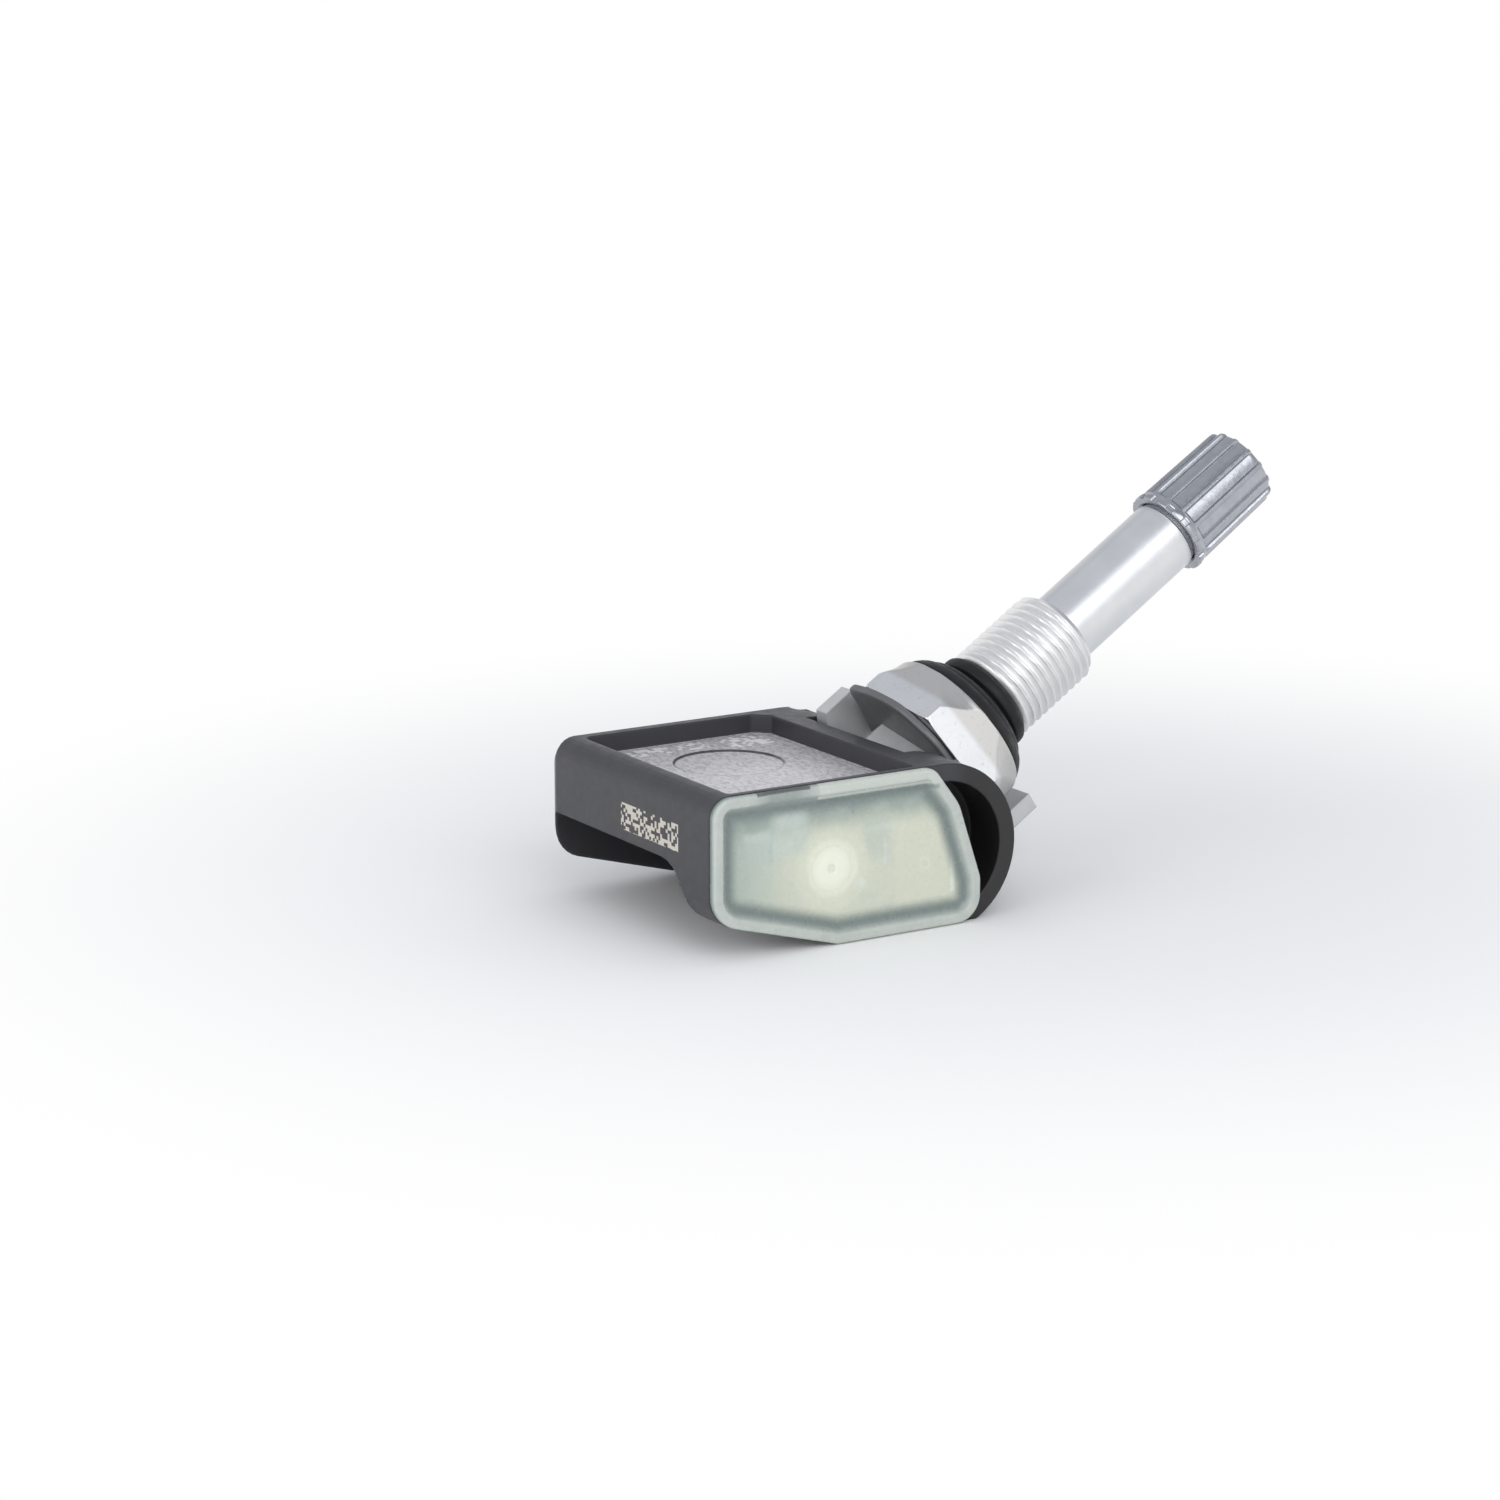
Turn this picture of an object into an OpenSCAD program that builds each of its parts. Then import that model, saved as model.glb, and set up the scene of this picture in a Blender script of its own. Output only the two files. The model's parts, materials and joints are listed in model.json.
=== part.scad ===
// Clamp-in tyre pressure sensor: a moulded sensor housing that hangs from a metal valve.
// The origin is the middle of the rubber neck that seats in the wheel rim's valve hole.
// +X runs towards the cap, +Y towards the back of the housing and +Z up.

/* [Housing] */
// Length from the left wall to the swivel axis
body_l = 27.5; // [26:0.1:30]
// Distance from the valve's axis to the sensor face
front_w = 16.6; // [15:0.1:18]
// Distance from the valve's axis to the back of the housing
rear_w = 17.4; // [15:0.1:18]
// Height from the flat bottom to the top face
body_h = 16.7; // [16.2:0.1:17.2]
// Radius of the rounded end that the valve swings on
end_r = 8.9; // [8.8:0.1:9.4]
// Wall thickness of the moulding
wall = 1.2; // [1:0.05:1.4]
// Radius of the long top-left edge
edge_r = 2.2; // [1.8:0.1:2.6]
// Rounding of the back edges
back_r = 2.6; // [1.5:0.1:3]
// Height of the left side of the sensor face
face_left_h = 12.7; // [12:0.1:13]
// Distance from the left wall to the ridge under the sensor face
keel_x = 14.5; // [13:0.1:16]
// Length of the sensor face along its top edge
face_top_l = 26; // [25.5:0.1:26.4]
// Overall length of the sensor face
face_l = 31.8; // [31:0.1:32]
// Depth of the electronics chamber behind the sensor face
chamber_depth = 4.4; // [4.3:0.1:4.6]

/* [Top recess and underside pocket] */
// Depth of the label recess in the top
recess_depth = 2; // [1.6:0.1:2]
// Width of the rim to the left of the label recess
recess_rim = 2.6; // [2:0.1:4]
// Width of the rim behind the label recess
recess_back = 3.8; // [3:0.1:5]
// Diameter of the shallow round pad in the recess floor
pad_d = 11.4; // [9:0.1:13]
// Depth of the round pad
pad_depth = 0.2; // [0.1:0.05:0.3]
// Distance from the swivel axis to the recess's right wall
recess_right = 2.9; // [2:0.1:4]
// Thickness of the slab over the underside pocket, from the top face down
slab_h = 7.8; // [7.6:0.1:8.2]
// Thickness of the front block below the slab
front_block = 5.6; // [5.6:0.1:6]
// Radius where the front block meets the slab
pocket_r = 4.6; // [3:0.1:5]
// Thickness of the back wall
back_wall = 1.8; // [1.6:0.1:2.2]

/* [Swivel end] */
// Clearance beside the saddle in the sunk track that it slides in
track_gap = 0.7; // [0.5:0.05:1]
// Radius of the sunk track
track_r = 6.6; // [6.5:0.05:6.8]
// Wall thickness under the track
track_wall = 1.4; // [1.2:0.05:1.5]
// Wall thickness of the two rims beside the track
rim_wall = 1.8; // [1.5:0.05:2]
// Width of the slot that the clamp bolt passes through
bolt_slot_w = 4.6; // [4.6:0.1:5]
// Radial running clearance between saddle and track
swivel_gap = 0.05; // [0.03:0.01:0.1]

/* [Potting and electronics] */
// Thickness of the potting flange in front of the housing wall
flange_t = 0.9; // [0.8:0.05:1.1]
// Depth of the potting plug inside the chamber
plug_t = 0.9; // [0.8:0.05:1]
// Width of the raised rim around the potting window
potting_rim = 1.1; // [0.9:0.05:1.4]
// Width of the bevel inside the rim
potting_bevel = 1.2; // [0.9:0.05:1.5]
// Depth of the potting window
window_depth = 0.8; // [0.4:0.05:0.9]
// Thickness of the circuit board
board_t = 0.8; // [0.6:0.05:0.9]
// Height of the parts on the circuit board
part_t = 1.1; // [0.9:0.05:1.1]
// Diameter of the coin cell
cell_d = 16; // [15.6:0.1:16.4]
// Thickness of the coin cell
cell_t = 3.2; // [3:0.05:3.2]
// Thickness of the battery tabs
tab_t = 0.2; // [0.15:0.01:0.22]
// Width of the battery tabs
tab_w = 4; // [3:0.1:5]
// Width of the transmitter chip
chip_w = 4; // [3:0.1:4.2]
// Length of the wake-up coil
coil_l = 7.2; // [6.4:0.1:7.4]
// Diameter of the round seal over the pressure port
port_d = 5; // [4.4:0.1:5.4]

/* [Valve] */
// Angle of the valve above the top face of the housing
stem_elev = 33.5; // [30:0.5:38]
// Distance from the swivel axis to the hexagon's seat
hex_seat = 9.6; // [9.4:0.1:10.2]
// Width across the flats of the hexagon
hex_af = 17; // [16.8:0.1:17.2]
// Turn of the hexagon about the valve, as it stands when tight
hex_turn = 43; // [0:1:60]
// Length of the hexagon and its dome
hex_l = 6; // [5.6:0.1:6.4]
// Length of the hexagon's full corners, before the dome
hex_straight = 2.8; // [2.4:0.1:3.2]
// Radius of the dome's back edge
dome_r = 8.8; // [8.6:0.05:9]
// Diameter of the neck that the rubber grommet sits on
neck_d = 9.2; // [9:0.1:9.6]
// Length of the rubber grommet
grommet_l = 4.6; // [4.4:0.1:5.4]
// Diameter of the grommet's neck in the valve hole
grommet_neck_d = 11.3; // [11.2:0.05:11.5]
// Diameter of the grommet's flange
grommet_flange_d = 16; // [15:0.1:16.8]
// Outer diameter of the rim nut thread
thread_d = 10.8; // [10.6:0.05:11.1]
// Length of the rim nut thread
thread_l = 9.8; // [9:0.1:12]
// Diameter of the smooth stem
stem_d = 7.6; // [7.2:0.1:7.6]
// Length of the smooth stem up to the cap
stem_l = 17.4; // [14:0.1:20]
// Outer diameter of the cap thread
tip_d = 7.7; // [7.6:0.05:7.8]
// Length of the cap thread, with its lead
tip_l = 10.2; // [10:0.1:10.4]
// Diameter of the bore that the valve core screws into
core_bore_d = 4.6; // [4.5:0.05:4.7]
// Diameter of the air way through the valve
air_d = 2.4; // [2:0.1:2.6]

/* [Saddle and clamp] */
// Width of the saddle along the swivel axis
saddle_w = 17.2; // [16.6:0.1:17.6]
// Gap between the hexagon's corners and the saddle's tongue
tongue_gap = 0.4; // [0.3:0.05:1]
// Thickness of the saddle's rim
saddle_rim = 1.4; // [1:0.1:1.8]
// Height of the saddle's taper under its rim
saddle_drop = 3.2; // [2.6:0.1:3.4]
// Reach of the saddle's ear above the valve's axis
ear_l = 7.9; // [7:0.1:9]
// Width of the ear
ear_w = 1.9; // [1.6:0.1:2.4]
// Reach of the saddle's boss above the valve's axis
boss_l = 5; // [4.6:0.1:5.4]
// Distance of the boss's upper corner from the middle
boss_y = 2.2; // [1.8:0.1:2.6]
// Diameter of the clamp bolt
bolt_d = 4; // [3.8:0.05:4]
// Width of the clamp plate along the swivel axis
plate_w = 9.2; // [8:0.1:10]
// Length of the clamp plate
plate_l = 6.8; // [6.4:0.1:7]
// Height of the tongue beside the hexagon
tongue_l = 7; // [3:0.1:7.4]
// Width of the tongue
tongue_w = 7; // [4:0.1:8]
// Thickness of the tongue
tongue_t = 1.8; // [1.2:0.1:2]

/* [Cap and core] */
// Length of the dust cap
cap_l = 12; // [12:0.1:13]
// Diameter of the cap at its rim
cap_d = 9.6; // [9.4:0.05:10]
// Diameter of the cap at its closed end
cap_end_d = 9.2; // [9.1:0.05:9.4]
// Number of flutes round the cap
flutes = 14; // [8:1:16]
// Depth of each flute
flute_depth = 0.35; // [0.2:0.05:0.4]
// Travel of the core pin when it is pressed
pin_travel = 1; // [0.8:0.1:1.1]
// Length of the valve core
core_l = 8.4; // [8:0.1:8.6]
// Diameter of the core pin
pin_d = 1; // [0.9:0.05:1.1]

/* [Hidden] */
$fn = 96;
// Shared clearances and small sizes
gap = 0.3;
fit = 0.05;
eps = 0.01;
flange_inset = 0.06;
arc_steps = 6;
// Housing levels, measured from the swivel axis
left_x = -body_l;
top_z = end_r;
bottom_z = top_z - body_h;
front_y = -front_w;
back_y = rear_w;
wall_front_y = front_y + flange_t;
chamber_y = wall_front_y - flange_t + chamber_depth;
recess_z = top_z - recess_depth;
pocket_z = top_z - slab_h;
pocket_y = front_y + front_block;
pocket_back_y = back_y - back_wall;
pocket_right_x = -track_r - wall - 2.2;
face_right_x = left_x + face_l;
keel = [left_x + keel_x, bottom_z];
left_foot = [left_x, top_z - face_left_h];
// Battery slot
slot_z = pocket_z + 0.95;
slot_h = cell_t + 2 * tab_t + 0.1;
cell_x = left_x + wall + 0.4 + cell_d / 2;
cell_y = pocket_back_y - 1.2 - cell_d / 2;
cell_z = slot_z + slot_h / 2;
lid_z = recess_z - 0.8;
// Circuit board
plug_y = wall_front_y + plug_t;
part_y = plug_y + 0.1;
board_y = part_y + part_t;
board_back_y = board_y + board_t;
port_x = left_x + 14.1;
port_z = top_z - 8.9;
antenna_t = 0.4;
// Distances along the valve, measured from the swivel axis
hex_end = hex_seat + hex_l;
grommet_end = hex_end + grommet_l;
thread_end = grommet_end + thread_l;
cap_rim = thread_end + stem_l;
tip_start = cap_rim + 0.8;
tip_end = cap_rim + tip_l;
cap_end = cap_rim + cap_l;
neck_start = grommet_end - 2.3;
cap_lip = 0.12;
flute_lean = atan((cap_d - cap_end_d) / 2 / cap_l);
seat_t = (neck_start + grommet_end - 0.3) / 2;
core_seat = tip_end - core_l;
head_l = 0.32 * core_l;
plug_l = 0.14 * core_l;
saddle_r = track_r + swivel_gap;
inner_r = track_r - track_wall;
track_w = saddle_w + 2 * track_gap;
plate_t = inner_r - 2.3;
saddle_low = hex_af / sqrt(3) + tongue_gap;
rim_in_r = end_r - rim_wall;

// Places on the board, as shares of the sensor face's length and height
function bx(u) = left_x + u * face_l;
function bz(v) = top_z - v * body_h;
// Level of the sloped bottom between the left wall and the ridge
function foot_z(x) = left_foot[1] + (x - left_foot[0]) * (keel[1] - left_foot[1]) / (keel[0] - left_foot[0]);
// Points of a rounded corner at p, between the points a and b, with radius r
function unit(v) = v / norm(v);
function corner(a, p, b, r) =
    let (u = unit(a - p), v = unit(b - p), half = acos(u * v) / 2)
    let (c = p + unit(u + v) * r / sin(half), first = p + u * r / tan(half) - c)
    let (side = u[0] * v[1] - u[1] * v[0] > 0 ? 1 : -1, sweep = 180 - 2 * half)
    let (start = atan2(first[1], first[0]))
    [for (i = [0:arc_steps]) c + r * [cos(start - side * sweep * i / arc_steps),
                                      sin(start - side * sweep * i / arc_steps)]];
// Outline through corner points [x, y, radius]
function rounded(pts) =
    let (n = len(pts), p = [for (q = pts) [q[0], q[1]]])
    [for (i = [0:n - 1]) each corner(p[(i + n - 1) % n], p[i], p[(i + 1) % n], pts[i][2])];

// Moves every side of a clockwise outline inward by the distance d
function inset(pts, d) =
    let (n = len(pts), p = [for (q = pts) [q[0], q[1]]])
    [for (i = [0:n - 1])
        let (e = unit(p[i] - p[(i + n - 1) % n]), f = unit(p[(i + 1) % n] - p[i]))
        let (g = [e[1], -e[0]], h = [f[1], -f[0]], q = p[i] + (g + h) * d / (1 + g * h))
        [q[0], q[1], max(pts[i][2] - d, 0.4)]];

// Outline of the sensor face, seen from the front, inset by the distance d
module face_shape(d) {
    polygon(rounded(inset([
        [left_x, top_z, edge_r],
        [left_x + face_top_l, top_z, 1.8],
        [face_right_x - 2.7, top_z - 4.1, 5],
        [face_right_x, bottom_z + 4.6, 2.6],
        [face_right_x, bottom_z, 2.8],
        [keel[0], bottom_z, 2],
        [left_foot[0], left_foot[1], 3.6]], d)));
}

// Outline of the housing with its rounded swivel end
module body_shape(d) {
    low = bottom_z + end_r > 0 ? asin((bottom_z + d) / (end_r - d)) : -90;
    polygon(concat(
        corner([0, top_z - d], [left_x + d, top_z - d], [left_x + d, bottom_z], edge_r),
        corner([left_x + d, top_z], left_foot + [d, 0.75 * d], keel + [0, d], 3.6),
        corner(left_foot + [d, 0.75 * d], keel + [0, d], [0, bottom_z + d], 2),
        [[(end_r - d) * cos(low), bottom_z + d]],
        [for (i = [1:30]) (end_r - d) * [cos(low + (90 - low) * i / 30), sin(low + (90 - low) * i / 30)]]));
}

// Extrudes a shape drawn in X and Z from y0 to y1
module across(y0, y1) {
    translate([0, y1, 0]) rotate([90, 0, 0]) linear_extrude(y1 - y0) children();
}
module round_across(r, y0, y1) {
    translate([0, y1, 0]) rotate([90, 0, 0]) cylinder(r = r, h = y1 - y0);
}
module box(x0, x1, y0, y1, z0, z1) {
    translate([x0, y0, z0]) cube([x1 - x0, y1 - y0, z1 - z0]);
}

// The part's frame, and the valve's own axis
module in_frame() {
    translate([-seat_t * cos(stem_elev), 0, -seat_t * sin(stem_elev)]) children();
}
module along_valve() {
    in_frame() rotate([0, 90 - stem_elev, 0]) children();
}
module ring(r0, r1, t0, t1) {
    translate([0, 0, t0]) difference() {
        cylinder(r = r1, h = t1 - t0);
        translate([0, 0, -1]) cylinder(r = r0, h = t1 - t0 + 2);
    }
}
module rod(r, t0, t1) {
    translate([0, 0, t0]) cylinder(r = r, h = t1 - t0);
}

// Moulded housing
module body_blank() {
    across(wall_front_y, back_y - back_r) body_shape(0);
    hull() {
        across(back_y - back_r - eps, back_y - back_r) body_shape(0);
        across(back_y - 0.45 * back_r, back_y - 0.45 * back_r + eps) body_shape(0.25 * back_r);
        across(back_y - eps, back_y) body_shape(0.9 * back_r);
    }
}
module track_cut() {
    across(-track_w / 2, track_w / 2) difference() {
        translate([-0.4, -track_r + 1.5]) square([end_r + 2, top_z + track_r]);
        circle(r = track_r);
    }
}
module end_hollow() {
    difference() {
        union() {
            round_across(inner_r, -track_w / 2 - 1, back_y - back_wall - 1);
            round_across(rim_in_r, wall_front_y - 2, -track_w / 2 - wall);
        }
        across(wall_front_y - 3, chamber_y + wall) face_shape(-0.1);
    }
}
module bolt_slot() {
    low = stem_elev - 36;
    high = stem_elev + 30;
    across(-bolt_slot_w / 2, bolt_slot_w / 2)
        polygon([[0, 0], 12 * [cos(low), sin(low)], 14 * [cos(stem_elev), sin(stem_elev)],
                 12 * [cos(high), sin(high)]]);
}
module top_recess() {
    x0 = left_x + recess_rim;
    x1 = -recess_right;
    y0 = front_y + 1.7;
    y1 = back_y - recess_back;
    translate([0, 0, recess_z]) linear_extrude(recess_depth + 1)
        polygon(concat(
            corner([x1, y0], [x0, y0], [x0, y1], 0.5),
            corner([x0, y0], [x0, y1], [x1, y1], 1),
            [[x1 - 1.6, y1], [x1, y1 - 1.6]],
            corner([x1, y1], [x1, y0], [x0, y0], 0.5)));
    translate([left_x + 14, front_y + 20, recess_z - pad_depth]) cylinder(d = pad_d, h = 1);
}
module underside_pocket() {
    y1 = pocket_back_y;
    translate([left_x - 1, 0, 0]) rotate([90, 0, 90]) linear_extrude(pocket_right_x - left_x + 1)
        polygon(concat(
            corner([pocket_y, bottom_z - 2], [pocket_y, pocket_z], [y1, pocket_z], pocket_r),
            corner([pocket_y, pocket_z], [y1, pocket_z], [y1, bottom_z - 2], 1),
            [[y1, bottom_z - 2], [pocket_y, bottom_z - 2]]));
}
module chamber_shape(d) {
    intersection() {
        face_shape(wall + d);
        translate([left_x, bottom_z]) square([face_l, lid_z - d - bottom_z]);
    }
}
module chamber() {
    across(wall_front_y - 1, chamber_y) chamber_shape(0);
    box(cell_x - cell_d / 2 - 0.2, cell_x + cell_d / 2 + 0.2, chamber_y - 1, cell_y,
        slot_z, slot_z + slot_h);
    translate([cell_x, cell_y, slot_z]) cylinder(d = cell_d + 0.4, h = slot_h);
}
module housing() {
    color([0.17, 0.17, 0.18]) in_frame() difference() {
        body_blank();
        top_recess();
        underside_pocket();
        chamber();
        end_hollow();
        track_cut();
        intersection() {
            bolt_slot();
            round_across(track_r + 1, -track_w / 2, track_w / 2);
        }
        translate([2.1, back_y - 3.2, top_z - 1.3]) cylinder(d = 2.5, h = 2);
    }
}

// Translucent potting with a sunk window and the hole for the port seal
module potting() {
    color([0.74, 0.8, 0.74]) in_frame() difference() {
        union() {
            across(front_y, wall_front_y) face_shape(flange_inset);
            across(wall_front_y, plug_y) chamber_shape(fit);
        }
        across(front_y - 1, front_y + window_depth / 2) face_shape(flange_inset + potting_rim);
        across(front_y - 1, front_y + window_depth) face_shape(flange_inset + potting_rim + potting_bevel / 2);
        translate([port_x, plug_y + 1, port_z]) rotate([90, 0, 0]) cylinder(d = port_d, h = 6);
    }
}

module circuit_board() {
    color([0.75, 0.78, 0.6]) in_frame() difference() {
        across(board_y, board_back_y) chamber_shape(fit);
        translate([port_x, board_back_y + 1, port_z]) rotate([90, 0, 0]) cylinder(d = 1, h = 4);
    }
}

// A board part: x and z of its middle, its width and its height
module on_board(x, z, w, h, t) {
    box(x - w / 2, x + w / 2, board_y - t, board_y, z - h / 2, z + h / 2);
}
module sensor_chip() {
    color([0.2, 0.2, 0.22]) in_frame() difference() {
        on_board(port_x, port_z, port_d, port_d, part_t);
        translate([port_x, board_y + 1, port_z]) rotate([90, 0, 0]) cylinder(d = 0.8, h = 4);
    }
}
module port_seal() {
    color([0.86, 0.87, 0.74]) in_frame()
        translate([port_x, part_y, port_z]) rotate([90, 0, 0]) difference() {
            cylinder(d = port_d - 2 * fit, h = part_y - front_y - window_depth + 0.3);
            translate([0, 0, -1]) cylinder(d = 0.8, h = 6);
        }
}
module transmitter_chip() {
    color([0.22, 0.23, 0.25]) in_frame() on_board(bx(0.21), bz(0.54), chip_w, chip_w, part_t);
}
module crystal() {
    color([0.75, 0.76, 0.78]) in_frame() on_board(bx(0.21), bz(0.3), chip_w, chip_w / 2, part_t);
}
module lf_coil() {
    color([0.62, 0.62, 0.5]) in_frame() {
        on_board(bx(0.75), bz(0.56), coil_l - 2, coil_l - 0.6, part_t);
        for (s = [-1, 1]) on_board(bx(0.75) + s * (coil_l / 2 - 0.5), bz(0.56), 1, coil_l, part_t);
    }
}
module antenna() {
    color([0.72, 0.5, 0.3]) in_frame()
        box(bx(0.35), bx(0.76), board_back_y, board_back_y + antenna_t, bz(0.84), bz(0.77));
}
module capacitors() {
    low_h = 0.06 * body_h;
    low_z = foot_z(bx(0.165)) + 1.05 * wall + 0.03 + low_h / 2;
    color([0.6, 0.5, 0.38]) in_frame() {
        for (i = [0:3]) on_board(bx(0.41 + 0.06 * i), bz(0.27), 0.04 * face_l, 0.1 * body_h, 0.8 * part_t);
        for (i = [0:2]) on_board(bx(0.19 + 0.07 * i), low_z, 0.05 * face_l, low_h, 0.8 * part_t);
    }
}
module battery() {
    color([0.8, 0.8, 0.82]) in_frame() translate([cell_x, cell_y, cell_z - cell_t / 2]) {
        cylinder(d = cell_d, h = cell_t - 0.4);
        cylinder(d = 0.9 * cell_d, h = cell_t);
    }
}
module battery_tab(z) {
    box(cell_x - tab_w / 2, cell_x + tab_w / 2, board_back_y, cell_y + tab_w / 2, z, z + tab_t);
}
module battery_tab_upper() {
    color([0.82, 0.82, 0.8]) in_frame() battery_tab(cell_z + cell_t / 2);
}
module battery_tab_lower() {
    color([0.82, 0.82, 0.8]) in_frame() battery_tab(cell_z - cell_t / 2 - tab_t);
}

// Saddle under the hexagon: a boss with slanted ends and one ear at the back
module saddle_profile() {
    taper_t = hex_seat - saddle_rim;
    foot_t = taper_t - saddle_drop;
    foot = saddle_low - 1.2 * saddle_drop;
    polygon([[-ear_l, hex_seat], [-ear_l, foot_t + 0.8], [-foot, foot_t], [foot, foot_t],
             [saddle_low, taper_t], [saddle_low, hex_seat]]);
}
module saddle_plan() {
    w = saddle_w / 2;
    polygon([[-ear_l, w], [-ear_l, w - ear_w], [-boss_l / 2, w - ear_w], [-boss_l, boss_y],
             [-boss_l / 2, boss_y - 1.4 * boss_l], [-boss_l / 3, -w], [saddle_low - 2, -w],
             [saddle_low, 2 - w], [saddle_low, w - 2], [saddle_low - 2, w]]);
}
module saddle() {
    color([0.62, 0.62, 0.6]) along_valve() difference() {
        union() {
            intersection() {
                translate([0, saddle_w / 2, 0]) rotate([90, 0, 0]) linear_extrude(saddle_w)
                    saddle_profile();
                linear_extrude(hex_seat + 1) saddle_plan();
            }
            box(saddle_low - 0.1, saddle_low + tongue_t, -tongue_w / 2, tongue_w / 2,
                hex_seat - saddle_rim, hex_seat + tongue_l);
        }
        round_across(saddle_r, -saddle_w, saddle_w);
        rod(bolt_d / 2 + 0.1, 0, hex_seat + 1);
    }
}
module clamp_plate() {
    color([0.6, 0.6, 0.62]) along_valve() difference() {
        intersection() {
            round_across(inner_r - fit, -plate_w / 2, plate_w / 2);
            box(-plate_l / 2, plate_l / 2, -plate_w / 2, plate_w / 2, plate_t, inner_r);
        }
        rod(bolt_d / 2 + 0.1, 0, hex_seat);
    }
}
module clamp_bolt() {
    color([0.55, 0.55, 0.57]) along_valve() difference() {
        union() {
            rod(0.75 * bolt_d, plate_t - bolt_d / 2, plate_t);
            rod(bolt_d / 2, plate_t - 0.1, hex_end - 0.6);
        }
        cylinder(d = 0.75 * bolt_d, h = plate_t - bolt_d / 4, $fn = 6);
        rod(0.7, 0, hex_end);
    }
}

// Turned valve: hexagon, dome, neck, rim nut thread, smooth stem and cap thread
module valve_stem() {
    hex_r = hex_af / sqrt(3);
    color([0.78, 0.78, 0.79]) along_valve() difference() {
        union() {
            intersection() {
                translate([0, 0, hex_seat]) rotate([0, 0, hex_turn]) cylinder(r = hex_r, h = hex_l, $fn = 6);
                rotate_extrude() polygon(concat(
                    [[0, hex_seat], [hex_r - 0.4, hex_seat], [hex_r, hex_seat + 0.4], [hex_r, hex_seat + hex_straight]],
                    [for (i = [1:8]) [dome_r + (hex_r - dome_r) * cos(i * 90 / 8),
                                      hex_seat + hex_straight + (hex_l - hex_straight) * sin(i * 90 / 8)]],
                    [[0, hex_end]]));
            }
            rod(neck_d / 2, hex_end - 1, grommet_end + 0.1);
            rotate_extrude() polygon([
                [0, grommet_end], [thread_d / 2 - 0.5, grommet_end], [thread_d / 2, grommet_end + 0.5],
                [thread_d / 2, thread_end - 0.9], [thread_d / 2 - 0.9, thread_end], [0, thread_end]]);
            rod(stem_d / 2, thread_end - 1, tip_start + 0.2);
            rotate_extrude() polygon([
                [0, tip_start], [stem_d / 2, tip_start], [tip_d / 2, tip_start + 0.4],
                [tip_d / 2, tip_end - 0.5], [tip_d / 2 - 0.5, tip_end], [0, tip_end]]);
        }
        rod(bolt_d / 2 + 0.02, hex_seat - 1, hex_end - 0.4);
        rod(air_d / 2, hex_end - 1, core_seat + 1);
        rod(core_bore_d / 2, core_seat, tip_end + 1);
    }
}

// Rubber grommet: flange against the dome, a groove, and the neck in the valve hole
module rim_grommet() {
    color([0.12, 0.12, 0.13]) along_valve() rotate_extrude() polygon([
        [neck_d / 2, hex_end], [grommet_flange_d / 2 - 0.4, hex_end],
        [grommet_flange_d / 2, hex_end + 0.4], [grommet_flange_d / 2 - 0.6, hex_end + 1.1],
        [grommet_neck_d / 2 + 0.9, hex_end + 1.4], [grommet_neck_d / 2 + 0.9, hex_end + 1.7],
        [grommet_neck_d / 2 + 0.7, hex_end + 2], [grommet_neck_d / 2, neck_start],
        [grommet_neck_d / 2, grommet_end - 0.3], [grommet_neck_d / 2 - 0.3, grommet_end],
        [neck_d / 2, grommet_end]]);
}

// Valve core: screwed body, gasket, pin, spring and plug
core_r = core_bore_d / 2 - fit;
barrel_r = 1.6;
barrel_t = core_seat + pin_travel + 0.3 + plug_l;
spring_t = barrel_t + 0.6;
spring_l = 2.8;
spring_turns = 5;
wire_d = 0.3;
module core_body() {
    color([0.8, 0.66, 0.36]) along_valve() difference() {
        union() {
            rod(core_r, tip_end - 0.5 - head_l, tip_end - 0.5);
            rod(barrel_r + 0.3, barrel_t, tip_end - head_l);
        }
        rod(pin_d / 2 + fit, core_seat, tip_end);
        rod(barrel_r - 0.3, spring_t, tip_end - 1.6);
        box(-3, 3, -0.4, 0.4, tip_end - 1.2, tip_end);
    }
}
module core_gasket() {
    color([0.75, 0.2, 0.15]) along_valve()
        ring(barrel_r + 0.3, core_r, tip_end - 2 - head_l, tip_end - 0.5 - head_l);
}
// Coil spring drawn as one closed tube
module coil(r, wire, turns, length) {
    sides = 8;
    per = 20;
    n = per * turns;
    pts = [for (i = [0:n]) for (k = [0:sides - 1])
        let (a = 360 * i / per, w = 360 * k / sides, q = r + wire / 2 * cos(w))
        [q * cos(a), q * sin(a), wire / 2 + (length - wire) * i / n + wire / 2 * sin(w)]];
    tube = [for (i = [0:n - 1]) for (k = [0:sides - 1])
        let (a = i * sides + k, b = i * sides + (k + 1) % sides)
        each [[a, b, b + sides], [a, b + sides, a + sides]]];
    polyhedron(pts, concat(tube, [[for (k = [sides - 1:-1:0]) k]], [[for (k = [0:sides - 1]) n * sides + k]]));
}
module core_spring() {
    color([0.7, 0.7, 0.72]) along_valve() translate([0, 0, spring_t])
        coil(0.95, wire_d, spring_turns, spring_l);
}
module core_pin() {
    color([0.8, 0.66, 0.36]) along_valve() {
        rod(pin_d / 2, barrel_t - plug_l, tip_end - 0.3);
        rod(barrel_r - 0.4, spring_t + spring_l, spring_t + spring_l + 0.4);
    }
}
module core_plug() {
    color([0.15, 0.15, 0.16]) along_valve() ring(pin_d / 2, barrel_r, barrel_t - plug_l, barrel_t);
}

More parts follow.
